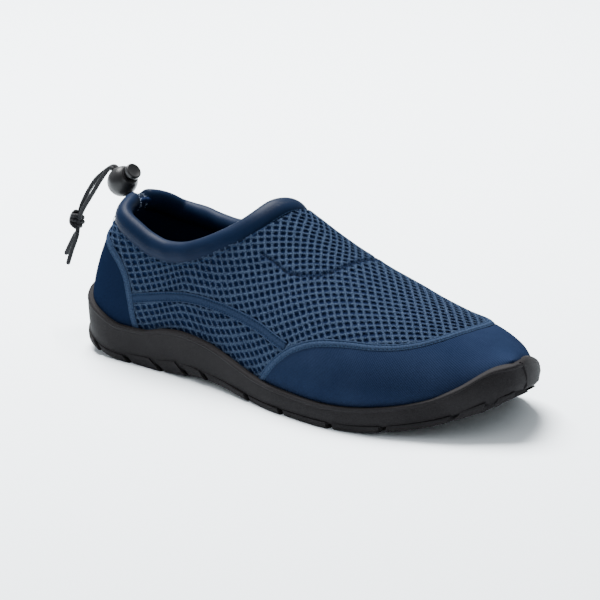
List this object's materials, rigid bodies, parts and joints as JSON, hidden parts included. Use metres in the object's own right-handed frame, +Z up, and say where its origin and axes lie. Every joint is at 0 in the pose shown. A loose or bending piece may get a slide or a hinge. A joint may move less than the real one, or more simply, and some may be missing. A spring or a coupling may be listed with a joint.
{
  "type": "water shoe",
  "caption": "Low-cut right water shoe with a net upper, padded collar, toe and heel panels, a lugged rubber sole and a drawcord with a barrel lock behind the heel.",
  "frame": {"origin": "on the floor under the heel, on the shoe's long axis", "axes": "+X to the toe, +Y to the big-toe side, +Z up"},
  "size_m": [0.3273, 0.1025, 0.0932],
  "materials": {
    "net_cloth": "navy net of round holes over a dark lining",
    "panel_cloth": "navy twill, fine diagonal rib",
    "tape_cloth": "ribbed woven tape with stitched edges",
    "collar_cloth": "smooth stretch jersey over foam",
    "insole_foam": "dark foam with a cloth face",
    "sole_rubber": "matte, finely speckled",
    "lock_plastic": "satin black moulding",
    "cord_braid": "black round braid"
  },
  "bodies": {
    "root": {"upper": "net_cloth", "insole": "insole_foam", "outsole": "sole_rubber", "toe_panel": "panel_cloth", "heel_counter": "panel_cloth", "toe_seam_tape": "tape_cloth", "counter_tape": "tape_cloth", "side_tape_outer": "tape_cloth", "side_tape_inner": "tape_cloth", "collar": "collar_cloth", "lock_body": "lock_plastic", "lock_button": "lock_plastic", "drawcord_knot": "cord_braid", "drawcord_strand_a": "cord_braid", "drawcord_strand_b": "cord_braid", "drawcord_tail_a": "cord_braid", "drawcord_tail_b": "cord_braid"}
  },
  "joints": []
}
